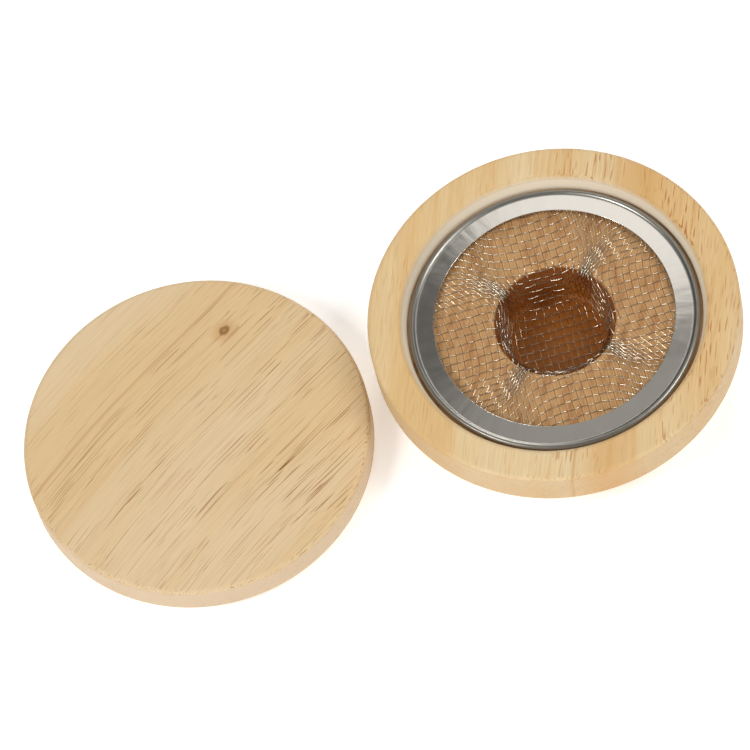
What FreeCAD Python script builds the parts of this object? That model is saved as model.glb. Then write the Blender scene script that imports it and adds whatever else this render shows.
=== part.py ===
import FreeCAD, Part
import os

import Sketcher

# Wooden strainer set: a turned wooden base that holds a steel mesh strainer in
# a recess, and a flat wooden lid that lies on the table beside the base.
# Millimetres, +Z up. The origin is the centre of the base's foot, on the table.

V = FreeCAD.Vector
doc = FreeCAD.newDocument("strainer_set")

# ---- driving sizes ---------------------------------------------------------

SIZES = {
    # strainer: bead to bead it measures twice this radius
    "strainer_radius": 35.2,
    "rim_width": 6.2,
    "rim_sheet": 0.4,
    "bead_radius": 0.8,
    "bead_gap": 0.1,
    "rim_edge_round": 0.2,
    "clinch_sheet": 0.4,
    "clinch_reveal": 0.7,
    # woven cloth, as a formed shell two wires thick
    "cloth_thickness": 0.6,
    "pit_mouth_radius": 13.6,
    "pit_floor_radius": 11.4,
    "pit_depth": 14.0,
    "mouth_round": 1.8,
    "floor_round": 2.2,
    # base
    "recess_clearance": 0.5,
    "recess_taper": 1.3,
    "wall_width": 8.0,
    "rim_drop": 3.0,
    "seat_clearance": 0.05,
    "pit_side_clearance": 1.1,
    "pit_under_clearance": 1.2,
    "floor_thickness": 2.1,
    "flange_height": 10.8,
    "foot_radius": 34.0,
    "base_edge_round": 1.2,
    "recess_edge_round": 1.0,
    "hollow_edge_round": 0.6,
    "hollow_floor_round": 1.5,
    "foot_edge_round": 0.8,
    # lid
    "lid_setback": 2.6,
    "lid_thickness": 8.4,
    "lid_edge_round": 1.3,
    "lid_under_round": 0.8,
    "lid_step_height": 2.0,
    "lid_step_clearance": 0.4,
    "lid_step_round": 0.5,
    # where the lid lies: the gap to the base, and the bearing from it in degrees
    "lid_gap": 3.2,
    "lid_bearing": 180.0,
}

# ---- sizes that follow from the driving ones -------------------------------

RIM_INNER = "sizes.strainer_radius - sizes.rim_width"
BEAD_CENTRE = "sizes.strainer_radius - sizes.bead_radius"
CLOTH_OUTER = "sizes.strainer_radius - 2 * sizes.bead_radius - sizes.bead_gap"
RECESS_RADIUS = "sizes.strainer_radius + sizes.recess_clearance"
RECESS_MOUTH = f"{RECESS_RADIUS} + sizes.recess_taper"
BASE_RADIUS = f"{RECESS_MOUTH} + sizes.wall_width"
HOLLOW_RADIUS = "sizes.pit_mouth_radius + sizes.pit_side_clearance"
LID_RADIUS = f"{BASE_RADIUS} - sizes.lid_setback"

# the recess narrows downwards, so the lid's step is sized for where its foot reaches
RECESS_DEPTH = "(2 * sizes.bead_radius + sizes.rim_drop + sizes.seat_clearance)"
STEP_NARROWING = f"sizes.recess_taper * sizes.lid_step_height / {RECESS_DEPTH}"
STEP_RADIUS = f"{RECESS_MOUTH} - {STEP_NARROWING} - sizes.lid_step_clearance"

# heights above the table, worked upwards from the base's floor
HOLLOW_FLOOR = "sizes.floor_thickness"
PIT_UNDERSIDE = f"{HOLLOW_FLOOR} + sizes.pit_under_clearance"
CLOTH_BOTTOM = f"{PIT_UNDERSIDE} + sizes.pit_depth"
CLOTH_TOP = f"{CLOTH_BOTTOM} + sizes.cloth_thickness"
BAND_TOP = f"{CLOTH_TOP} + sizes.rim_sheet"
SEAT = f"{CLOTH_BOTTOM} - sizes.clinch_sheet"
BEAD_HEIGHT = f"{SEAT} + sizes.bead_radius"
LEDGE = f"{SEAT} - sizes.seat_clearance"
BASE_TOP = f"{SEAT} + 2 * sizes.bead_radius + sizes.rim_drop"
FLANGE_BOTTOM = f"{BASE_TOP} - sizes.flange_height"
LID_UNDERSIDE = "sizes.lid_step_height"
LID_TOP = f"{LID_UNDERSIDE} + sizes.lid_thickness"

# how far the lower face of the cloth's sloping wall stands out from the upper
# face at the same corner, for a wall of even thickness
SLOPE = "atan(sizes.pit_depth / (sizes.pit_mouth_radius - sizes.pit_floor_radius))"
CORNER_SHIFT = f"sizes.cloth_thickness * tan({SLOPE} / 2)"


def make_sheet():
    sheet = doc.addObject("Spreadsheet::Sheet", "sizes")
    for row, (alias, value) in enumerate(SIZES.items(), start=1):
        sheet.set(f"A{row}", alias)
        sheet.set(f"B{row}", str(value))
        sheet.setAlias(f"B{row}", alias)
    doc.recompute()
    return sheet


sheet = make_sheet()


def size_of(expression):
    """The value that an expression over the sheet has now."""
    value = sheet.evalExpression(expression)
    return float(getattr(value, "Value", value))


# ---- helpers ---------------------------------------------------------------

def new_body(label):
    body = doc.addObject("PartDesign::Body", label)
    body.Label = label
    return body


def origin_plane(body, role):
    return next(f for f in body.Origin.OriginFeatures if f.Role == role)


def new_sketch(body, name, role):
    sketch = body.newObject("Sketcher::SketchObject", name)
    sketch.AttachmentSupport = [(origin_plane(body, role), "")]
    sketch.MapMode = "FlatFace"
    return sketch


def bind(sketch, kind, geometry, point, expression):
    """One distance from the sketch's origin to a point, tied to the sheet."""
    value = size_of(expression)
    index = sketch.addConstraint(Sketcher.Constraint(kind, -1, 1, geometry, point, value))
    sketch.setExpression(f"Constraints[{index}]", expression)


def outline(sketch, corners):
    """A closed outline through (radius, height) corners; a None lies on an axis."""
    points = [V(size_of(r) if r else 0, size_of(z) if z else 0, 0) for r, z in corners]
    count = len(points)
    for i in range(count):
        sketch.addGeometry(Part.LineSegment(points[i], points[(i + 1) % count]), False)
    for i in range(count):
        sketch.addConstraint(Sketcher.Constraint("Coincident", i, 2, (i + 1) % count, 1))
    for i, (radius, height) in enumerate(corners):
        if radius is None:
            sketch.addConstraint(Sketcher.Constraint("PointOnObject", i, 1, -2))
        else:
            bind(sketch, "DistanceX", i, 1, radius)
        if height is None:
            sketch.addConstraint(Sketcher.Constraint("PointOnObject", i, 1, -1))
        else:
            bind(sketch, "DistanceY", i, 1, height)


def turn(body, name, sketch, kind="PartDesign::Revolution"):
    """A full turn of a sketch about the body's vertical axis."""
    feature = body.newObject(kind, name)
    feature.Profile = sketch
    feature.ReferenceAxis = (sketch, ["V_Axis"])
    feature.Angle = 360
    doc.recompute()
    return feature


def ring_edges(shape, radius, height):
    """The names of the round edges of one radius at one height."""
    names = []
    for number, edge in enumerate(shape.Edges, start=1):
        curve = edge.Curve
        if not isinstance(curve, Part.Circle):
            continue
        if abs(curve.Radius - radius) < 1e-4 and abs(curve.Center.z - height) < 1e-4:
            names.append(f"Edge{number}")
    return names


def round_edge(body, name, radius, height, rounding):
    """A fillet on the ring-shaped edge at a radius and a height."""
    base = body.Tip
    names = ring_edges(base.Shape, size_of(radius), size_of(height) if height else 0.0)
    if not names:
        raise RuntimeError(f"{body.Label}: no edge to round for {name}")
    fillet = body.newObject("PartDesign::Fillet", name)
    fillet.Base = (base, names)
    fillet.Radius = size_of(rounding)
    fillet.setExpression("Radius", rounding)
    doc.recompute()


# ---- wooden base: turned from one blank ------------------------------------

def make_base():
    body = new_body("wooden_base")
    blank = new_sketch(body, "base_blank_outline", "XZ_Plane")
    foot = "sizes.foot_radius"
    outline(blank, [
        (None, None), (foot, None), (foot, FLANGE_BOTTOM),
        (BASE_RADIUS, FLANGE_BOTTOM), (BASE_RADIUS, BASE_TOP), (None, BASE_TOP),
    ])
    turn(body, "base_blank", blank)

    hollow = new_sketch(body, "base_hollow_outline", "XZ_Plane")
    outline(hollow, [
        (None, HOLLOW_FLOOR), (HOLLOW_RADIUS, HOLLOW_FLOOR), (HOLLOW_RADIUS, LEDGE),
        (RECESS_RADIUS, LEDGE), (RECESS_MOUTH, BASE_TOP), (None, BASE_TOP),
    ])
    turn(body, "base_hollow", hollow, "PartDesign::Groove")

    round_edge(body, "base_top_round", BASE_RADIUS, BASE_TOP, "sizes.base_edge_round")
    round_edge(body, "base_under_round", BASE_RADIUS, FLANGE_BOTTOM, "sizes.base_edge_round")
    round_edge(body, "recess_round", RECESS_MOUTH, BASE_TOP, "sizes.recess_edge_round")
    round_edge(body, "hollow_round", HOLLOW_RADIUS, LEDGE, "sizes.hollow_edge_round")
    round_edge(body, "hollow_floor_round", HOLLOW_RADIUS, HOLLOW_FLOOR, "sizes.hollow_floor_round")
    round_edge(body, "foot_round", foot, None, "sizes.foot_edge_round")
    return body


# ---- wooden lid ------------------------------------------------------------

def make_lid():
    """A flat disc with a shallow step beneath that drops into the recess."""
    body = new_body("wooden_lid")
    disc = new_sketch(body, "lid_outline", "XZ_Plane")
    outline(disc, [
        (None, None), (STEP_RADIUS, None), (STEP_RADIUS, LID_UNDERSIDE),
        (LID_RADIUS, LID_UNDERSIDE), (LID_RADIUS, LID_TOP), (None, LID_TOP),
    ])
    turn(body, "lid_disc", disc)
    round_edge(body, "lid_top_round", LID_RADIUS, LID_TOP, "sizes.lid_edge_round")
    round_edge(body, "lid_under_round", LID_RADIUS, LID_UNDERSIDE, "sizes.lid_under_round")
    round_edge(body, "lid_step_round", STEP_RADIUS, None, "sizes.lid_step_round")
    reach = f"({BASE_RADIUS} + {LID_RADIUS} + sizes.lid_gap)"
    body.setExpression("Placement.Base.x", f"{reach} * cos(sizes.lid_bearing * 1 deg)")
    body.setExpression("Placement.Base.y", f"{reach} * sin(sizes.lid_bearing * 1 deg)")
    return body


# ---- steel strainer: rim, clinch ring and cloth ----------------------------

def make_rim():
    """A flat pressed band with a rolled bead around its outer edge."""
    body = new_body("steel_rim")
    band = new_sketch(body, "rim_band_outline", "XZ_Plane")
    outline(band, [
        (RIM_INNER, CLOTH_TOP), (BEAD_CENTRE, CLOTH_TOP),
        (BEAD_CENTRE, BAND_TOP), (RIM_INNER, BAND_TOP),
    ])
    turn(body, "rim_band", band)
    bead = new_sketch(body, "rim_bead_outline", "XZ_Plane")
    centre = V(size_of(BEAD_CENTRE), size_of(BEAD_HEIGHT), 0)
    bead.addGeometry(Part.Circle(centre, V(0, 0, 1), size_of("sizes.bead_radius")), False)
    bind(bead, "DistanceX", 0, 3, BEAD_CENTRE)
    bind(bead, "DistanceY", 0, 3, BEAD_HEIGHT)
    index = bead.addConstraint(Sketcher.Constraint("Radius", 0, size_of("sizes.bead_radius")))
    bead.setExpression(f"Constraints[{index}]", "sizes.bead_radius")
    turn(body, "rim_bead", bead)
    round_edge(body, "rim_edge_round", RIM_INNER, BAND_TOP, "sizes.rim_edge_round")
    return body


def make_clinch_ring():
    """The washer that grips the cloth against the underside of the rim."""
    body = new_body("clinch_ring")
    washer = new_sketch(body, "clinch_outline", "XZ_Plane")
    inner = f"{RIM_INNER} + sizes.clinch_reveal"
    outline(washer, [
        (inner, SEAT), (CLOTH_OUTER, SEAT), (CLOTH_OUTER, CLOTH_BOTTOM), (inner, CLOTH_BOTTOM),
    ])
    turn(body, "clinch_washer", washer)
    return body


def make_cloth():
    """The wire cloth as a formed shell: a flat brim and a central pit."""
    body = new_body("mesh_cloth")
    mouth = "sizes.pit_mouth_radius"
    floor = "sizes.pit_floor_radius"
    mouth_under = f"{mouth} + {CORNER_SHIFT}"
    floor_under = f"{floor} + {CORNER_SHIFT}"
    pit_top = f"{PIT_UNDERSIDE} + sizes.cloth_thickness"
    shell = new_sketch(body, "cloth_outline", "XZ_Plane")
    outline(shell, [
        (None, PIT_UNDERSIDE), (floor_under, PIT_UNDERSIDE), (mouth_under, CLOTH_BOTTOM),
        (CLOTH_OUTER, CLOTH_BOTTOM), (CLOTH_OUTER, CLOTH_TOP), (mouth, CLOTH_TOP),
        (floor, pit_top), (None, pit_top),
    ])
    turn(body, "cloth_shell", shell)
    thick = "sizes.cloth_thickness"
    round_edge(body, "mouth_round", mouth, CLOTH_TOP, f"sizes.mouth_round + {thick}")
    round_edge(body, "mouth_under_round", mouth_under, CLOTH_BOTTOM, "sizes.mouth_round")
    round_edge(body, "floor_round", floor, pit_top, "sizes.floor_round")
    round_edge(body, "floor_under_round", floor_under, PIT_UNDERSIDE, f"sizes.floor_round + {thick}")
    return body


# ---- build, check and write ------------------------------------------------

def check_document():
    for item in doc.Objects:
        faults = [state for state in item.State if state in ("Invalid", "Error")]
        if faults:
            raise RuntimeError(f"{item.Label} did not build: {faults}")


def write(body):
    shape = body.Shape
    if shape.isNull() or not shape.isValid() or len(shape.Solids) != 1:
        raise RuntimeError(f"{body.Label} is not one sound solid")
    shape.exportStep(f"parts/{body.Label}.step")
    box = shape.BoundBox
    print(f"{body.Label}: {shape.Volume:.1f} mm3,",
          f"{box.XLength:.2f} x {box.YLength:.2f} x {box.ZLength:.2f} mm,",
          f"z {box.ZMin:.2f} to {box.ZMax:.2f}")


os.makedirs("parts", exist_ok=True)
bodies = [make_base(), make_lid(), make_rim(), make_clinch_ring(), make_cloth()]
doc.recompute()
check_document()
for body in bodies:
    write(body)
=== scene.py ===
# %% [markdown]
# # Wooden strainer set with a woven steel basket
# The engineering model is loaded first and stays fixed. Every visible piece
# below is made around it, in metres, in the same frame: +Z is up and the origin
# is the centre of the wooden base's foot, on the table.

# %% Load the fixed frame
import math

import bmesh
import bpy
import numpy as np
from mathutils import Matrix, Vector, noise


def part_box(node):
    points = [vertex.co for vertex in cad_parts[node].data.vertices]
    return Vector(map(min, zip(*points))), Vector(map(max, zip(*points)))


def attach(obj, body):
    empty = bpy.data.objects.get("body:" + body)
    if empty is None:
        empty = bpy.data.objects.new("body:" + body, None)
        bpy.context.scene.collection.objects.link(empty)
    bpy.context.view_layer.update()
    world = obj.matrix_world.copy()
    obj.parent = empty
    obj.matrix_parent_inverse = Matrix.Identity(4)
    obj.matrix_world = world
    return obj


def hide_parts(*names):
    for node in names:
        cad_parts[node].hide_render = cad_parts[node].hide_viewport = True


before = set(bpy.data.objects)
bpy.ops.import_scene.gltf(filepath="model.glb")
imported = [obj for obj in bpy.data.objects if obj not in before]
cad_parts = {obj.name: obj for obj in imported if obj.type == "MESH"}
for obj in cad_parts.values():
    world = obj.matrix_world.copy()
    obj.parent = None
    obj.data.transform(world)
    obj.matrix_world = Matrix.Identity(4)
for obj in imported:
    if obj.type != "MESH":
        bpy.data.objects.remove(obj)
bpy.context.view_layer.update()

MM = 0.001

# %% [markdown]
# The camera comes first. It looks down at about 62 degrees from a long way off
# through a long lens, so the two discs keep nearly the same scale, and it is
# rolled a little, so the lid sits lower in the frame than the base.

# %% Camera
VIEW_ELEVATION = math.radians(62.2)
VIEW_ROLL = math.radians(-15.75)
VIEW_DISTANCE = 1.5
VIEW_WIDTH = 0.1796
SENSOR_WIDTH = 36.0
NEAR_CLIP = 0.01
VIEW_CENTRE = (-45.2 * MM, -3.5 * MM)

_, base_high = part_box("wooden_base")
look_at = Vector((*VIEW_CENTRE, base_high.z))
to_camera = Vector((0, -math.cos(VIEW_ELEVATION), math.sin(VIEW_ELEVATION)))

camera_data = bpy.data.cameras.new("view")
camera_data.sensor_width = SENSOR_WIDTH
camera_data.lens = SENSOR_WIDTH * VIEW_DISTANCE / VIEW_WIDTH
camera_data.clip_start = NEAR_CLIP
camera = bpy.data.objects.new("view", camera_data)
bpy.context.scene.collection.objects.link(camera)
bpy.context.scene.camera = camera
camera.location = look_at + VIEW_DISTANCE * to_camera
level = to_camera.to_track_quat("Z", "Y").to_matrix()
camera.rotation_euler = (level @ Matrix.Rotation(VIEW_ROLL, 3, "Z")).to_euler()
print("lens", round(camera_data.lens, 1), "mm")

# %% [markdown]
# Small helpers serve every material. Colours are written as sRGB hex, as a
# paint chart gives them, and one function turns them into the linear values
# that shaders use. Another adds one node, with its settings and its links, and
# the rest are short names for the few kinds of node that come up again and again.

# %% Colour and node helpers
def colour(code):
    """An sRGB hex code as a linear colour with full alpha."""
    parts = [int(code[i:i + 2], 16) / 255 for i in (1, 3, 5)]
    linear = [c / 12.92 if c <= 0.04045 else ((c + 0.055) / 1.055) ** 2.4 for c in parts]
    return (*linear, 1.0)


def add(tree, kind, links=None, **settings):
    """One node: links maps an input to a socket that feeds it or to a plain value."""
    node = tree.nodes.new(kind)
    for key, value in settings.items():
        setattr(node, key, value)
    for key, value in (links or {}).items():
        if isinstance(value, bpy.types.NodeSocket):
            tree.links.new(value, node.inputs[key])
        else:
            node.inputs[key].default_value = value
    return node


def reckon(tree, operation, *values):
    """The result of a Math node."""
    return add(tree, "ShaderNodeMath", dict(enumerate(values)), operation=operation).outputs[0]


def reckon_vector(tree, operation, *vectors):
    """The result of a Vector Math node."""
    return add(tree, "ShaderNodeVectorMath", dict(enumerate(vectors)),
               operation=operation).outputs[0]


def scaled(tree, vector, factor):
    return add(tree, "ShaderNodeVectorMath", {0: vector, "Scale": factor},
               operation="SCALE").outputs[0]


def length_of(tree, vector):
    return add(tree, "ShaderNodeVectorMath", {0: vector}, operation="LENGTH").outputs["Value"]


def flat_part(tree, vector):
    """A position's part in the XY plane, whose length is the distance from the axis."""
    return reckon_vector(tree, "MULTIPLY", vector, (1, 1, 0))


def part_of(tree, vector, axis):
    return add(tree, "ShaderNodeSeparateXYZ", {0: vector}).outputs[axis]


def speckle(tree, vector, scale, detail, roughness=0.5):
    """A soft random pattern, mostly between 0.3 and 0.7."""
    return add(tree, "ShaderNodeTexNoise", {
        "Vector": vector, "Scale": scale, "Detail": detail,
        "Roughness": roughness}).outputs["Fac"]


def ramp(tree, value, limits, levels, **settings):
    """A value stretched from its two limits to two levels, and held at the ends."""
    return add(tree, "ShaderNodeMapRange", {
        "Value": value, "From Min": limits[0], "From Max": limits[1],
        "To Min": levels[0], "To Max": levels[1]}, **settings).outputs[0]


def blend(tree, amount, first, second):
    """Two colours mixed; an amount of 1 gives the second."""
    return add(tree, "ShaderNodeMix", {0: amount, 6: first, 7: second},
               data_type="RGBA").outputs[2]


def new_material(name):
    material = bpy.data.materials.new(name)
    material.use_nodes = True
    material.node_tree.nodes.clear()
    return material


def close_material(tree, shader):
    add(tree, "ShaderNodeOutputMaterial", {"Surface": shader.outputs[0]})


# %% [markdown]
# The stage is a pale paper sweep. A plain plane does for the floor, because the
# camera looks down on it. It is not part of the object, so it is marked as
# stage. A little glow of its own keeps the paper white, as on a light table. It
# lies a hair below the feet, so that no two faces share one plane.

# %% Floor
FLOOR_HALF = 4.0
FLOOR_GLOW = 0.36
FLOOR_DROP = 0.05 * MM
PAPER_ROUGHNESS = 0.85
PAPER_GRAIN = 900.0
PAPER_TOOTH = 0.2 * MM

paper = new_material("white_paper")
paper_tree = paper.node_tree
paper_place = add(paper_tree, "ShaderNodeTexCoord").outputs["Object"]
paper_bump = add(paper_tree, "ShaderNodeBump", {
    "Height": speckle(paper_tree, paper_place, PAPER_GRAIN, 2.0),
    "Strength": 0.04, "Distance": PAPER_TOOTH})
close_material(paper_tree, add(paper_tree, "ShaderNodeBsdfPrincipled", {
    "Base Color": colour("#fbfbfb"), "Roughness": PAPER_ROUGHNESS,
    "Normal": paper_bump.outputs["Normal"],
    "Emission Color": (1, 1, 1, 1), "Emission Strength": FLOOR_GLOW}))

floor_shape = bmesh.new()
bmesh.ops.create_grid(floor_shape, x_segments=1, y_segments=1, size=FLOOR_HALF)
floor_mesh = bpy.data.meshes.new("floor")
floor_shape.to_mesh(floor_mesh)
floor_shape.free()
floor_mesh.materials.append(paper)
floor = bpy.data.objects.new("floor", floor_mesh)
floor.location.z = -FLOOR_DROP
bpy.context.scene.collection.objects.link(floor)
print("floor", 2 * FLOOR_HALF, "m wide")

# %% [markdown]
# Light is soft and white. A round key stands behind and a little to the right,
# near the direction that the flat steel rim mirrors towards the camera, so the
# rim is white on its far side and grey in front. Three small strong boxes,
# behind, to the right and to the left, make the wires glint and give the
# shadows their direction. A weak one overhead lifts the flat faces, and two
# fills at the front keep the near sides open. A softbox is an area light, whose
# power is worked out from the brightness that its cloth should have. The room
# around is dim, and only where the camera sees it directly is it white.

# %% Softboxes and surroundings
SOFTBOXES = (
    # name, direction, distance, width and height in metres, brightness, shape
    ("key_behind_right", (0.17, 0.605, 0.778), 0.66, 0.30, 0.30, 1.05, "ELLIPSE"),
    ("strobe_behind", (0.30, 0.82, 0.48), 1.3, 0.30, 0.30, 14.0, "RECTANGLE"),
    ("strobe_right", (0.58, -0.15, 0.80), 1.2, 0.24, 0.44, 13.0, "RECTANGLE"),
    ("strobe_left", (-0.64, -0.26, 0.72), 1.2, 0.22, 0.44, 20.0, "RECTANGLE"),
    ("overhead", (0.03, 0.20, 0.98), 0.9, 0.36, 0.36, 0.34, "RECTANGLE"),
    ("fill_front_left", (-0.55, -0.75, 0.42), 1.2, 0.50, 0.50, 3.6, "RECTANGLE"),
    ("fill_front_right", (0.55, -0.75, 0.42), 1.2, 0.50, 0.50, 3.6, "RECTANGLE"),
)
SURROUND = 0.17
BACKDROP = 1.0


def softbox(name, direction, distance, width, height, brightness, shape):
    """An area light that stands in a direction from the strainer and faces it."""
    light = bpy.data.lights.new(name, "AREA")
    light.shape = shape
    light.size = width
    light.size_y = height
    light.energy = brightness * math.pi * width * height
    towards = Vector(direction).normalized()
    holder = bpy.data.objects.new(name, light)
    holder.location = towards * distance
    holder.rotation_euler = towards.to_track_quat("Z", "Y").to_euler()
    holder.visible_camera = False
    bpy.context.scene.collection.objects.link(holder)
    print(name, "power", round(light.energy, 2), "W")


for softbox_settings in SOFTBOXES:
    softbox(*softbox_settings)

world = bpy.data.worlds.new("studio")
bpy.context.scene.world = world
world.use_nodes = True
world_tree = world.node_tree
world_tree.nodes.clear()
seen_directly = add(world_tree, "ShaderNodeLightPath").outputs["Is Camera Ray"]
room_level = add(world_tree, "ShaderNodeMix", {0: seen_directly, 2: SURROUND, 3: BACKDROP})
room = add(world_tree, "ShaderNodeBackground", {
    "Color": (1, 1, 1, 1), "Strength": room_level.outputs[0]})
add(world_tree, "ShaderNodeOutputWorld", {"Surface": room.outputs[0]})
bpy.context.scene.view_settings.view_transform = "Standard"

# %% [markdown]
# Base and lid are rubberwood, sawn from a board, turned round, sanded and only
# lightly oiled. Wood is a solid pattern: one texture runs through the whole
# board, and turning only uncovers it, so long lines on top become dots where
# the side cuts across the grain. The pattern is therefore read from Object
# coordinates, turned to the board's grain and counted in millimetres. Four
# things make it: slow changes of tone, growth bands, fine fibres and the open
# pores, which are thin dark dashes. Real pores are about 0.2 mm wide; they are
# drawn somewhat wider, so that they show.

# %% Wood
# how fast each pattern changes along and across the grain, per millimetre
WANDER_STRETCH = (0.022, 0.035)
TONE_STRETCH = (0.009, 0.06)
BAND_STRETCH = (0.012, 0.42)
FIBRE_STRETCH = (0.07, 2.2)
CROWD_STRETCH = (0.018, 0.11)
BLOTCH_STRETCH = (0.16, 0.55)
# the levels of a random pattern between which a thing comes in
TONE_LIMITS = (0.36, 0.64)
BAND_LIMITS = (0.52, 0.72)
FIBRE_LIMITS = (0.3, 0.7)
CROWD_LIMITS = (0.38, 0.6)
BLOTCH_LIMITS = (0.45, 0.7)
SIDE_LIMITS = (0.75, 0.2)
CLOSED_GRAIN = 0.25
PORE_DEPTH = 0.7
RELIEF = 0.08 * MM
WOOD_ROUGHNESS = (0.5, 0.62)


def stretched(tree, vector, along, across):
    """Board coordinates scaled along and across the grain, for a long pattern."""
    return reckon_vector(tree, "MULTIPLY", vector, (along, across, across))


def wood(name, board):
    material = new_material(name)
    tree = material.node_tree
    place = add(tree, "ShaderNodeTexCoord")
    grain = add(tree, "ShaderNodeMapping", {
        "Vector": place.outputs["Object"], "Location": board["centre"],
        "Rotation": (0, 0, math.radians(board["grain_angle"])), "Scale": (MM, MM, MM)},
        vector_type="TEXTURE").outputs[0]

    # the fibres wander a little, and fan out towards one end of the board
    wander = speckle(tree, stretched(tree, grain, *WANDER_STRETCH), 1.0, 2.0)
    drift = reckon(tree, "MULTIPLY_ADD", wander, board["wander"], -0.5 * board["wander"])
    behind = reckon(tree, "SUBTRACT", part_of(tree, grain, "X"), board["fan_start"])
    behind = reckon(tree, "MINIMUM", behind, 0.0)
    bend = reckon(tree, "MULTIPLY", behind, behind)
    bend = reckon(tree, "MULTIPLY_ADD", bend, board["fan"], drift)
    shift = add(tree, "ShaderNodeCombineXYZ", {"Y": bend, "Z": drift}).outputs[0]
    fibre_place = reckon_vector(tree, "ADD", grain, shift)

    # slow changes of tone, from the pale board to its warm patches
    tone = speckle(tree, stretched(tree, fibre_place, *TONE_STRETCH), 1.0, 2.0)
    tone = ramp(tree, tone, TONE_LIMITS, (0.0, 1.0), interpolation_type="SMOOTHSTEP")
    paint = blend(tree, tone, colour(board["pale"]), colour(board["warm"]))

    # growth bands a few millimetres wide
    bands = speckle(tree, stretched(tree, fibre_place, *BAND_STRETCH), 1.0, 3.0, 0.6)
    bands = ramp(tree, bands, BAND_LIMITS, (0.0, board["band_strength"]))
    paint = blend(tree, bands, paint, colour(board["band"]))

    # fine fibres, light and dark
    fibres = speckle(tree, stretched(tree, fibre_place, *FIBRE_STRETCH), 1.0, 3.0, 0.65)
    fibre_level = ramp(
        tree, fibres, FIBRE_LIMITS,
        (1.0 - board["fibre_strength"], 1.0 + board["fibre_strength"]), clamp=False)
    paint = scaled(tree, paint, fibre_level)

    # pores: layers of fine lines and short dark dashes, where the board is open
    crowd = speckle(tree, stretched(tree, fibre_place, *CROWD_STRETCH), 1.0, 1.0)
    crowd = ramp(tree, crowd, CROWD_LIMITS, (board["fewest_pores"], 1.0))
    across_board = part_of(tree, fibre_place, "Y")
    openness = ramp(tree, across_board, board["open_grain"], (CLOSED_GRAIN, 1.0))
    crowd = reckon(tree, "MULTIPLY", crowd, openness)
    pores = None
    for along, across, low, high, strength in board["pores"]:
        layer = speckle(tree, stretched(tree, fibre_place, along, across), 1.0, 0.0)
        cut = ramp(tree, layer, (low, high), (0.0, strength), interpolation_type="SMOOTHSTEP")
        cut = reckon(tree, "MULTIPLY", cut, crowd)
        pores = cut if pores is None else reckon(tree, "MAXIMUM", cut, pores)
    paint = blend(tree, pores, paint, colour(board["pore"]))

    # turned sides are painted a darker tone, partly the plainer turned end grain and partly
    # painted shade on the upright faces, and their pores show less
    upright = reckon(tree, "ABSOLUTE", part_of(tree, place.outputs["Normal"], "Z"))
    side = ramp(tree, upright, SIDE_LIMITS, (0.0, board["side_strength"]),
                interpolation_type="SMOOTHSTEP")
    paint = blend(tree, side, paint, colour(board["side"]))

    for feature in board["features"]:
        paint = feature(tree, grain, fibre_place, paint)

    relief = reckon(tree, "MULTIPLY_ADD", pores, -PORE_DEPTH, fibres)
    bump = add(tree, "ShaderNodeBump", {
        "Height": relief, "Strength": 0.35, "Distance": RELIEF})
    close_material(tree, add(tree, "ShaderNodeBsdfPrincipled", {
        "Base Color": paint, "Roughness": ramp(tree, fibres, FIBRE_LIMITS, WOOD_ROUGHNESS),
        "IOR": 1.5, "Specular IOR Level": 0.35, "Normal": bump.outputs["Normal"]}))
    return material


# %% [markdown]
# The lid's board has two marks of its own: a small pin knot, the trace of a
# thin twig, and one darker streak of mineral that follows the grain. Both are
# drawn in the board's coordinates. On the base's board, the turned wall of the
# recess is painted paler, a painted highlight for the lit wall, and the ledge
# and the hollow are painted browner, a painted shade under the wire cloth and
# deep in the hollow.

# %% Marks in the boards
KNOT_FLATTEN = (0.85, 1.1, 0)
KNOT_RAGGED = 0.9
# each ring's colour, where it starts and ends in radii of the knot, and strength
KNOT_RINGS = (("#c08f55", 3.4, 1.2, 0.5), ("#7d4f22", 1.55, 1.05, 0.75),
              ("#b98a52", 0.75, 0.5, 0.8))


def knot(centre, radius):
    """A pin knot: a dark ring round a paler eye, in a warm halo."""
    def draw(tree, grain, fibre_place, paint):
        offset = reckon_vector(tree, "SUBTRACT", grain, (*centre, 0))
        reach = length_of(tree, reckon_vector(tree, "MULTIPLY", offset, KNOT_FLATTEN))
        ragged = speckle(tree, grain, 1.1, 2.0)
        reach = reckon(tree, "MULTIPLY_ADD", ragged, KNOT_RAGGED, reach)
        for code, near, far, strength in KNOT_RINGS:
            edge = ramp(tree, reach, (radius * near, radius * far), (0.0, strength),
                        interpolation_type="SMOOTHSTEP")
            paint = blend(tree, edge, paint, colour(code))
        return paint
    return draw


def streak(across, width, code, strength):
    """A darker line of the board that follows the fibres at one place across it."""
    def draw(tree, grain, fibre_place, paint):
        off = reckon(tree, "SUBTRACT", part_of(tree, fibre_place, "Y"), across)
        off = reckon(tree, "ABSOLUTE", off)
        line = ramp(tree, off, (width, 0.0), (0.0, strength), interpolation_type="SMOOTHERSTEP")
        return blend(tree, line, paint, colour(code))
    return draw


def painted_recess_light_and_shade(top, fade, zone, code, strength, patchy=0.0):
    """A painted highlight or painted shade inside the recess, below a height, in a (lowest,
    radius) zone.
    """
    lowest, within = zone

    def draw(tree, grain, fibre_place, paint):
        height = part_of(tree, grain, "Z")
        reach = length_of(tree, flat_part(tree, grain))
        # blotches break the painted tone into patches, as far as patchy asks
        blotches = speckle(tree, stretched(tree, fibre_place, *BLOTCH_STRETCH), 1.0, 3.0)
        amount = ramp(tree, height, (top, top - fade), (0.0, strength))
        for part in (reckon(tree, "GREATER_THAN", height, lowest),
                     reckon(tree, "LESS_THAN", reach, within),
                     ramp(tree, blotches, BLOTCH_LIMITS, (1.0 - patchy, 1.0))):
            amount = reckon(tree, "MULTIPLY", amount, part)
        return blend(tree, amount, paint, colour(code))
    return draw


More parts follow.
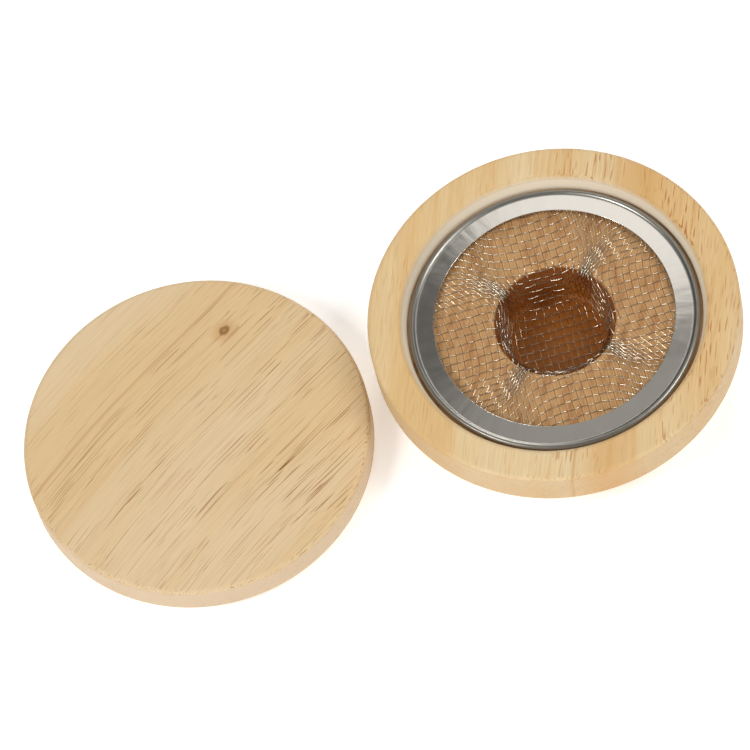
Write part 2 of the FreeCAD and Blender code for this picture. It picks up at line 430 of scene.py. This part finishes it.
# %% [markdown]
# The two boards differ as two boards from one pile do. The base is honey
# coloured, with strong orange dashes. The lid is paler and creamier, with long
# fine lines that fan out at one end. A layer of pores is given by how fast it
# changes along and across the grain, by the two levels between which it comes
# in, and by its strength. Pores fade out across the board, between the two
# places that open_grain names.

# %% The two boards
SEAT_GAP = 0.05
# lowest height and radius of the recess's wall, of its ledge and of the hollow
WALL_ZONE = (10.0, 38.2)
LEDGE_ZONE = (10.9, 36.5)
HOLLOW_ZONE = (1.0, 15.5)

rim_low, rim_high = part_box("steel_rim")
lid_low, lid_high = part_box("wooden_lid")
lid_centre = (lid_low + lid_high) / 2
base_top = base_high.z / MM
ledge_height = rim_low.z / MM - SEAT_GAP

base_wood = wood("rubberwood_honey", {
    "centre": (0, 0, 0), "grain_angle": 70.0, "wander": 3.0, "fan_start": 0.0, "fan": 0.0,
    "pale": "#dfc699", "warm": "#d9b47c", "band": "#cf9d5a", "band_strength": 0.5,
    "fibre_strength": 0.06, "fewest_pores": 0.25, "open_grain": (9.0, -16.0),
    "pore": "#ab652a",
    "pores": ((0.2, 2.2, 0.63, 0.74, 1.0), (0.1, 1.4, 0.64, 0.82, 0.5),
              (0.08, 4.5, 0.62, 0.8, 0.4)),
    "side": "#c4a67e", "side_strength": 0.6,
    "features": [
        streak(-17.0, 11.0, "#cb954c", 0.5), streak(-8.6, 0.7, "#bd8442", 0.35),
        # painted highlight: a near-white tone on the recess's turned wall stands for the light on
        # it
        painted_recess_light_and_shade(base_top - 0.3, 1.2, WALL_ZONE, "#f6e8d0", 0.9),
        # painted shade: a browner tone, laid on evenly and in blotches, on the ledge under the
        # wire cloth
        painted_recess_light_and_shade(ledge_height + 0.5, 0.5, LEDGE_ZONE, "#c68a36", 0.8),
        painted_recess_light_and_shade(ledge_height + 0.5, 0.5, LEDGE_ZONE, "#a05a1e", 0.55, patchy=1.0),
        # painted shade: a brown tone in the hollow, darker towards the bottom
        painted_recess_light_and_shade(ledge_height - 0.2, 1.0, HOLLOW_ZONE, "#a05a22", 0.95),
        painted_recess_light_and_shade(ledge_height - 6.0, 6.0, HOLLOW_ZONE, "#ae6820", 0.9)]})
lid_wood = wood("rubberwood_cream", {
    "centre": (lid_centre.x, lid_centre.y, 0), "grain_angle": 32.0, "wander": 2.0,
    "fan_start": 10.0, "fan": 0.0016,
    "pale": "#dcc29a", "warm": "#d9ba8b", "band": "#cba474", "band_strength": 0.25,
    "fibre_strength": 0.04, "fewest_pores": 0.5, "open_grain": (34.0, 8.0),
    "pore": "#8f5e2e",
    "pores": ((0.035, 3.0, 0.7, 0.75, 0.65), (0.06, 3.6, 0.725, 0.77, 1.0),
              (0.03, 5.0, 0.6, 0.8, 0.25)),
    "side": "#c8b196", "side_strength": 0.65,
    "features": [streak(22.0, 0.7, "#b98d5c", 0.5), knot((24.5, 14.6), 1.3)]})
print("boards:", base_wood.name, lid_wood.name)

# %% [markdown]
# The rim is pressed from satin stainless sheet. Pressing leaves faint waves that
# run out from the centre, which show only where the mirrored light changes from
# bright to dark. They are drawn as a bump on coordinates wrapped round the
# axis: the direction from the axis, times a radius, has no seam. The curled
# bead has been through the rollers, so it is duller than the band, and it is
# painted darker, a painted shade that mutes its reflections.
# Metal keeps the default IOR, and the satin comes from roughness.

# %% Satin stainless sheet
WAVE_SCALE = 0.3
WAVE_DETAIL = 1.5
WAVE_HEIGHT = 0.08 * MM
WAVE_OUTWARD = 0.3
SHEET_SPOTS = 350.0
SHEET_ROUGHNESS = (0.14, 0.19)
BEAD_ROUGHER = 0.2
BEAD_SHARE = 0.85
# how far in from the outer edge the duller bead begins and is complete
BEAD_EDGE = (1.9 * MM, 1.4 * MM)

rim_radius = rim_high.x

sheet_steel = new_material("stainless_sheet_satin")
sheet_tree = sheet_steel.node_tree
sheet_place = add(sheet_tree, "ShaderNodeTexCoord").outputs["Object"]
sheet_flat = flat_part(sheet_tree, sheet_place)
sheet_reach = length_of(sheet_tree, sheet_flat)
sheet_round = scaled(
    sheet_tree, reckon_vector(sheet_tree, "NORMALIZE", sheet_flat), rim_radius / MM)
sheet_rise = add(sheet_tree, "ShaderNodeCombineXYZ", {
    "Z": reckon(sheet_tree, "MULTIPLY", sheet_reach, WAVE_OUTWARD / MM)}).outputs[0]
sheet_wrap = reckon_vector(sheet_tree, "ADD", sheet_round, sheet_rise)
press_waves = speckle(sheet_tree, sheet_wrap, WAVE_SCALE, WAVE_DETAIL)
sheet_bump = add(sheet_tree, "ShaderNodeBump", {
    "Height": press_waves, "Strength": 0.5, "Distance": WAVE_HEIGHT})
sheet_spots = speckle(sheet_tree, sheet_place, SHEET_SPOTS, 4.0)
sheet_gloss = ramp(sheet_tree, sheet_spots, (0.3, 0.7), SHEET_ROUGHNESS)
bead_scuff_and_shade = ramp(sheet_tree, sheet_reach, [rim_radius - inward for inward in BEAD_EDGE],
               (0.0, BEAD_SHARE))
sheet_rough = reckon(sheet_tree, "MULTIPLY_ADD", bead_scuff_and_shade, BEAD_ROUGHER, sheet_gloss)
sheet_paint = blend(sheet_tree, sheet_spots, colour("#bdb8af"), colour("#c8c3ba"))
# painted shade: the bead's colour is darker, which mutes its reflections
sheet_paint = blend(sheet_tree, bead_scuff_and_shade, sheet_paint, colour("#8d8a83"))
close_material(sheet_tree, add(sheet_tree, "ShaderNodeBsdfPrincipled", {
    "Base Color": sheet_paint, "Metallic": 1.0, "Roughness": sheet_rough,
    "Normal": sheet_bump.outputs["Normal"]}))

# %% [markdown]
# The cloth is drawn stainless wire. Drawing through a die leaves it smooth and
# bright, so it glints where it turns towards the light and is dark elsewhere. A
# fine unevenness in its gloss keeps the glints from being all alike.

# %% Drawn stainless wire
WIRE_SPOTS = 700.0
WIRE_ROUGHNESS = (0.10, 0.20)

wire_steel = new_material("stainless_wire_drawn")
wire_tree = wire_steel.node_tree
wire_place = add(wire_tree, "ShaderNodeTexCoord").outputs["Object"]
wire_spots = speckle(wire_tree, wire_place, WIRE_SPOTS, 2.0)
wire_paint = blend(wire_tree, wire_spots, colour("#b3ab9a"), colour("#cfc7b6"))
close_material(wire_tree, add(wire_tree, "ShaderNodeBsdfPrincipled", {
    "Base Color": wire_paint, "Metallic": 1.0,
    "Roughness": ramp(wire_tree, wire_spots, (0.3, 0.7), WIRE_ROUGHNESS)}))
print("steel:", sheet_steel.name, wire_steel.name)

# %% [markdown]
# Everything round in this set was turned on a lathe or spun from sheet, so it is
# made the same way here: half a cross-section, with its corners rounded by a
# vertex bevel, is spun about the axis. That keeps each edge's radius exact. The
# weighted normals keep the wide flats flat next to their rounded edges.

# %% Turning
TURN_STEPS = 256
ROUND_SEGMENTS = 6
MERGE_DISTANCE = 0.001 * MM
SHARP_ANGLE = math.radians(32)


def spin_profile(corners, closed):
    """A bmesh spun from (radius, height, rounding) corners in millimetres."""
    shape = bmesh.new()
    verts = [shape.verts.new((r * MM, 0, z * MM)) for r, z, _ in corners]
    ends = verts[1:] + verts[:1] if closed else verts[1:]
    for start, end in zip(verts, ends):
        shape.edges.new((start, end))
    for vert, (_, _, rounding) in zip(verts, corners):
        if rounding:
            bmesh.ops.bevel(shape, geom=[vert], offset=rounding * MM, affect="VERTICES",
                            segments=ROUND_SEGMENTS, profile=0.5, material=-1)
    bmesh.ops.spin(shape, geom=shape.verts[:] + shape.edges[:], cent=(0, 0, 0),
                   axis=(0, 0, 1), angle=2 * math.pi, steps=TURN_STEPS, use_merge=True)
    bmesh.ops.remove_doubles(shape, verts=shape.verts, dist=MERGE_DISTANCE)
    bmesh.ops.recalc_face_normals(shape, faces=shape.faces)
    return shape


def finish_piece(name, shape, material, body, slot_name, *nodes):
    """A piece from a bmesh: smooth, painted, and riding where its CAD node rides."""
    mesh = bpy.data.meshes.new(name)
    shape.to_mesh(mesh)
    shape.free()
    mesh.shade_smooth()
    mesh.set_sharp_from_angle(angle=SHARP_ANGLE)
    mesh.materials.append(material)
    piece = bpy.data.objects.new(name, mesh)
    bpy.context.scene.collection.objects.link(piece)
    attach(piece, body)
    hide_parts(*nodes)
    print(name, len(mesh.polygons), "faces")
    return piece


# %% [markdown]
# The wooden base is a thick disc with a stepped recess. The upper step seats
# the strainer, and the deep hollow takes its pit. The flange overhangs a
# narrower foot. The profile is walked from the axis under the foot, up the
# outside, and down into the hollow.

# %% Wooden base
RECESS_CLEARANCE = 0.5
RECESS_TAPER = 1.3
HOLLOW_RADIUS = 14.7
HOLLOW_FLOOR = 2.1
FOOT_RADIUS = 34.0
FLANGE_HEIGHT = 10.8
BASE_EDGE_ROUND = 1.2
FOOT_EDGE_ROUND = 0.8
LEDGE_ROUND = 0.2
HOLLOW_EDGE_ROUND = 0.6
HOLLOW_FLOOR_ROUND = 1.5

base_radius = base_high.x / MM
flange_bottom = base_top - FLANGE_HEIGHT
recess_radius = rim_radius / MM + RECESS_CLEARANCE

base_shape = spin_profile([
    (0, 0, 0), (FOOT_RADIUS, 0, FOOT_EDGE_ROUND), (FOOT_RADIUS, flange_bottom, 0),
    (base_radius, flange_bottom, BASE_EDGE_ROUND), (base_radius, base_top, BASE_EDGE_ROUND),
    (recess_radius + RECESS_TAPER, base_top, BASE_EDGE_ROUND),
    (recess_radius, ledge_height, LEDGE_ROUND),
    (HOLLOW_RADIUS, ledge_height, HOLLOW_EDGE_ROUND),
    (HOLLOW_RADIUS, HOLLOW_FLOOR, HOLLOW_FLOOR_ROUND), (0, HOLLOW_FLOOR, 0)], closed=False)
base = finish_piece("base_turned", base_shape, base_wood, "base", "base_wood", "wooden_base")
base.modifiers.new("flat_flats", "WEIGHTED_NORMAL").keep_sharp = True

# %% [markdown]
# The lid is a plain disc with a shallow step beneath, which drops into the
# recess. It is made about the axis and then moved to where it lies.

# %% Wooden lid
STEP_HEIGHT = 2.0
STEP_CLEARANCE = 0.4
STEP_EDGE_ROUND = 0.5
LID_UNDER_ROUND = 0.8
LID_TOP_ROUND = 1.3

lid_radius = (lid_high.x - lid_low.x) / 2 / MM
lid_top = lid_high.z / MM
taper_at_step = RECESS_TAPER * (1 - STEP_HEIGHT / (base_top - ledge_height))
step_radius = recess_radius + taper_at_step - STEP_CLEARANCE
lid_shape = spin_profile([
    (0, 0, 0), (step_radius, 0, STEP_EDGE_ROUND), (step_radius, STEP_HEIGHT, 0),
    (lid_radius, STEP_HEIGHT, LID_UNDER_ROUND), (lid_radius, lid_top, LID_TOP_ROUND),
    (0, lid_top, 0)], closed=False)
bmesh.ops.translate(lid_shape, verts=lid_shape.verts, vec=(lid_centre.x, lid_centre.y, 0))
lid = finish_piece("lid_turned", lid_shape, lid_wood, "lid", "lid_wood", "wooden_lid")
lid.modifiers.new("flat_flats", "WEIGHTED_NORMAL").keep_sharp = True

# %% [markdown]
# The rim is one sheet, 0.4 mm thick: a flat band whose outer edge is curled over
# into a bead. Only the middle of the sheet is drawn as a profile. A Solidify
# modifier gives it the sheet's thickness, and a Bevel takes the burr off the
# cut edges.

# %% Steel rim
RIM_WIDTH = 6.2
SHEET = 0.4
BAND_RISE = 0.2
# where the band turns down to the bead: how far in from the edge, and how low
TURN_DOWN = ((2.0, 0.07), (1.5, 0.1))
BEAD_RADIUS = 0.8
CURL_FIRST = 135
CURL_LAST = -165
CURL_STEP = -12
DEBURR_WIDTH = 0.12
DEBURR_SEGMENTS = 3
DEBURR_ANGLE = math.radians(50)

cloth_low, cloth_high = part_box("mesh_cloth")
rim_outer = rim_radius / MM
band_middle = cloth_high.z / MM + SHEET / 2
bead_centre = (rim_outer - BEAD_RADIUS, rim_high.z / MM - BEAD_RADIUS)
curl_radius = BEAD_RADIUS - SHEET / 2
turn_down = [(rim_outer - inward, band_middle - drop, 0) for inward, drop in TURN_DOWN]
curl = [(bead_centre[0] + curl_radius * math.cos(math.radians(angle)),
         bead_centre[1] + curl_radius * math.sin(math.radians(angle)), 0)
        for angle in range(CURL_FIRST, CURL_LAST, CURL_STEP)]
rim_shape = spin_profile([
    (rim_outer - RIM_WIDTH + SHEET / 2, band_middle + BAND_RISE, 0), *turn_down, *curl],
    closed=False)
rim = finish_piece("rim_pressed", rim_shape, sheet_steel, "strainer", "rim_steel", "steel_rim")
thickness = rim.modifiers.new("sheet", "SOLIDIFY")
thickness.thickness = SHEET * MM
thickness.offset = 0
deburr = rim.modifiers.new("deburr", "BEVEL")
deburr.width = DEBURR_WIDTH * MM
deburr.segments = DEBURR_SEGMENTS
deburr.limit_method = "ANGLE"
deburr.angle_limit = DEBURR_ANGLE
rim.modifiers.new("flat_band", "WEIGHTED_NORMAL").keep_sharp = True

# %% [markdown]
# Behind the rim a thin washer grips the cloth. It is a plain spun ring.

# %% Clinch ring
CLINCH_REVEAL = 0.7
CLINCH_ROUND = 0.1

clinch_low, clinch_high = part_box("clinch_ring")
clinch_outer = clinch_high.x / MM
clinch_inner = rim_outer - RIM_WIDTH + CLINCH_REVEAL
clinch_shape = spin_profile([
    (clinch_inner, clinch_low.z / MM, CLINCH_ROUND),
    (clinch_outer, clinch_low.z / MM, CLINCH_ROUND),
    (clinch_outer, clinch_high.z / MM, CLINCH_ROUND),
    (clinch_inner, clinch_high.z / MM, CLINCH_ROUND)], closed=True)
finish_piece("clinch_pressed", clinch_shape, sheet_steel, "strainer", "rim_steel",
             "clinch_ring")

# %% [markdown]
# The cloth starts flat, with its wires square to each other, and is pressed over
# a former into a brim and a pit. Woven wire can't stretch, but it can shear:
# each little cell keeps the length of its four sides and becomes a diamond. So
# the wires are laid out as a fishing net is: two wires are laid over the former
# through its centre, square to each other, and every further crossing is the
# one point on the former that lies one pitch from both of its neighbours. The
# bands where the cells close up appear by themselves between the two wires.

# %% The former's shape
CLOTH_THICKNESS = 0.6
MOUTH_RADIUS = 13.75
FLOOR_RADIUS = 11.55
MOUTH_ROUND = 2.1
FLOOR_ROUND = 2.5
SLOPE_STEP = 0.02

brim_height = cloth_high.z / MM - CLOTH_THICKNESS / 2
floor_height = cloth_low.z / MM + CLOTH_THICKNESS / 2
wall_angle = math.atan2(brim_height - floor_height, MOUTH_RADIUS - FLOOR_RADIUS)
mouth_tangent = MOUTH_ROUND * math.tan(wall_angle / 2)
floor_tangent = FLOOR_ROUND * math.tan(wall_angle / 2)


def former_height(radius):
    """Height of the cloth's middle at a distance from the axis, in millimetres."""
    if radius >= MOUTH_RADIUS + mouth_tangent:
        return brim_height
    if radius >= MOUTH_RADIUS - mouth_tangent * math.cos(wall_angle):
        inward = MOUTH_RADIUS + mouth_tangent - radius
        return brim_height - MOUTH_ROUND + math.sqrt(max(0, MOUTH_ROUND ** 2 - inward ** 2))
    if radius >= FLOOR_RADIUS + floor_tangent * math.cos(wall_angle):
        return brim_height - (MOUTH_RADIUS - radius) * math.tan(wall_angle)
    if radius >= FLOOR_RADIUS - floor_tangent:
        outward = radius - FLOOR_RADIUS + floor_tangent
        return floor_height + FLOOR_ROUND - math.sqrt(max(0, FLOOR_ROUND ** 2 - outward ** 2))
    return floor_height


def on_former(x, y):
    return np.array([x, y, former_height(math.hypot(x, y))])


def former_normal(point):
    """The direction straight out of the cloth's upper face at a point on it."""
    radius = math.hypot(point[0], point[1])
    if radius < SLOPE_STEP:
        return np.array([0, 0, 1.0])
    rise = former_height(radius + SLOPE_STEP) - former_height(radius - SLOPE_STEP)
    slope = rise / (2 * SLOPE_STEP)
    out = np.array([-slope * point[0] / radius, -slope * point[1] / radius, 1.0])
    return out / np.linalg.norm(out)


print("pit", round(brim_height - floor_height, 2), "mm deep, wall",
      round(math.degrees(wall_angle)), "degrees")

# %% [markdown]
# The net is worked out for one quarter, because the former is round and the
# first two wires cut it into four equal parts. Newton's method finds each
# crossing in a few steps, from the guess that its cell is a parallelogram.

# %% The net
PITCH_X = 1.70
PITCH_Y = 2.20
COUNT_X = 26
COUNT_Y = 22
STRIDE = 0.005
NEWTON_STEP = 1e-4
NEWTON_TRIES = 40
NEAR_ENOUGH = 1e-8
LONGEST_MOVE = 0.5
TINY = 1e-12


def walk_out(pitch, count):
    """Distances from the axis of points one pitch apart along the former."""
    radii = [0.0]
    radius = travelled = 0.0
    height = former_height(0)
    while len(radii) < count:
        radius += STRIDE
        next_height = former_height(radius)
        travelled += math.hypot(STRIDE, next_height - height)
        height = next_height
        if travelled >= pitch:
            radii.append(radius)
            travelled -= pitch
    return radii


def next_crossing(beside, below, corner):
    """The point one X pitch from beside and one Y pitch from below, away from corner."""
    x, y = (beside + below - corner)[:2]
    for _ in range(NEWTON_TRIES):
        here = on_former(x, y)
        to_beside, to_below = here - beside, here - below
        miss = np.array([to_beside @ to_beside - PITCH_X ** 2, to_below @ to_below - PITCH_Y ** 2])
        if abs(miss).max() < NEAR_ENOUGH:
            break
        by_x = (on_former(x + NEWTON_STEP, y) - here) / NEWTON_STEP
        by_y = (on_former(x, y + NEWTON_STEP) - here) / NEWTON_STEP
        rates = 2 * np.array([[to_beside @ by_x, to_beside @ by_y],
                              [to_below @ by_x, to_below @ by_y]])
        move = np.linalg.solve(rates, -miss)
        move *= min(1.0, LONGEST_MOVE / max(abs(move).max(), TINY))
        x, y = x + move[0], y + move[1]
    return on_former(x, y)


def lay_quarter():
    quarter = {}
    for i, radius in enumerate(walk_out(PITCH_X, COUNT_X)):
        quarter[i, 0] = on_former(radius, 0)
    for j, radius in enumerate(walk_out(PITCH_Y, COUNT_Y)):
        quarter[0, j] = on_former(0, radius)
    for i in range(1, COUNT_X):
        for j in range(1, COUNT_Y):
            quarter[i, j] = next_crossing(quarter[i - 1, j], quarter[i, j - 1],
                                          quarter[i - 1, j - 1])
    return quarter


net = {}
for (i, j), point in lay_quarter().items():
    for sign_x in (1, -1):
        for sign_y in (1, -1):
            net[sign_x * i, sign_y * j] = point * (sign_x, sign_y, 1)
print("crossings:", len(net))

# %% [markdown]
# In a plain weave each wire goes over one neighbour and under the next, so at
# every crossing one wire is lifted by its own radius and the other lowered. The
# wires are smooth NURBS curves with the crossings as control points. A cubic
# spline keeps only a third of an alternating offset, so the offset given is
# three times what is wanted. The forming leaves the wires slightly uneven,
# which a smooth noise adds; its seed is fixed, so every run gives the same
# wires. Curves with a round bevel give the wires their thickness, and each set
# of wires is turned into one mesh.

# %% The woven wires
WIRE_RADIUS = 0.105
CUT_RADIUS = 33.1
SPLINE_ORDER = 4
SPLINE_KEEP = 3
UNEVEN = 0.16
UNEVEN_SCALE = 0.3
UNEVEN_SEED = 1
WIRE_SAMPLES = 6
WIRE_ROUNDNESS = 1


def crossing(i, j, lift):
    """A control point, in metres, lifted along the cloth's normal."""
    point = net[i, j]
    wobble = noise.noise_vector(Vector(point) * UNEVEN_SCALE)
    normal = former_normal(point)
    moved = point + normal * lift + np.array(wobble) * UNEVEN
    return Vector(moved) * MM


def weave(name, lines, over):
    """One set of wires. over is +1 or -1: which way its even crossings go."""
    curve = bpy.data.curves.new(name, "CURVE")
    curve.dimensions = "3D"
    curve.bevel_depth = WIRE_RADIUS * MM
    curve.bevel_resolution = WIRE_ROUNDNESS
    curve.use_fill_caps = True
    for line in lines:
        kept = [key for key in line if math.hypot(*net[key][:2]) <= CUT_RADIUS]
        if len(kept) < SPLINE_ORDER:
            continue
        spline = curve.splines.new("NURBS")
        spline.points.add(len(kept) - 1)
        for point, (i, j) in zip(spline.points, kept):
            lift = over * (1 if (i + j) % 2 == 0 else -1) * SPLINE_KEEP * WIRE_RADIUS
            point.co = (*crossing(i, j, lift), 1)
        spline.order_u = SPLINE_ORDER
        spline.use_endpoint_u = True
        spline.resolution_u = WIRE_SAMPLES
        spline.use_smooth = True
    holder = bpy.data.objects.new(name, curve)
    bpy.context.scene.collection.objects.link(holder)
    bpy.context.view_layer.update()
    mesh = bpy.data.meshes.new_from_object(
        holder.evaluated_get(bpy.context.evaluated_depsgraph_get()))
    bpy.data.objects.remove(holder)
    mesh.materials.clear()
    mesh.materials.append(wire_steel)
    mesh.shade_smooth()
    piece = bpy.data.objects.new(name, mesh)
    bpy.context.scene.collection.objects.link(piece)
    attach(piece, "strainer")
    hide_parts("mesh_cloth")
    mesh.calc_loop_triangles()
    print(name, len(curve.splines), "wires,", len(mesh.loop_triangles), "triangles")


noise.seed_set(UNEVEN_SEED)
weave("warp_wires", [[(i, j) for j in range(1 - COUNT_Y, COUNT_Y)]
                     for i in range(1 - COUNT_X, COUNT_X)], 1)
weave("weft_wires", [[(i, j) for i in range(1 - COUNT_X, COUNT_X)]
                     for j in range(1 - COUNT_Y, COUNT_Y)], -1)
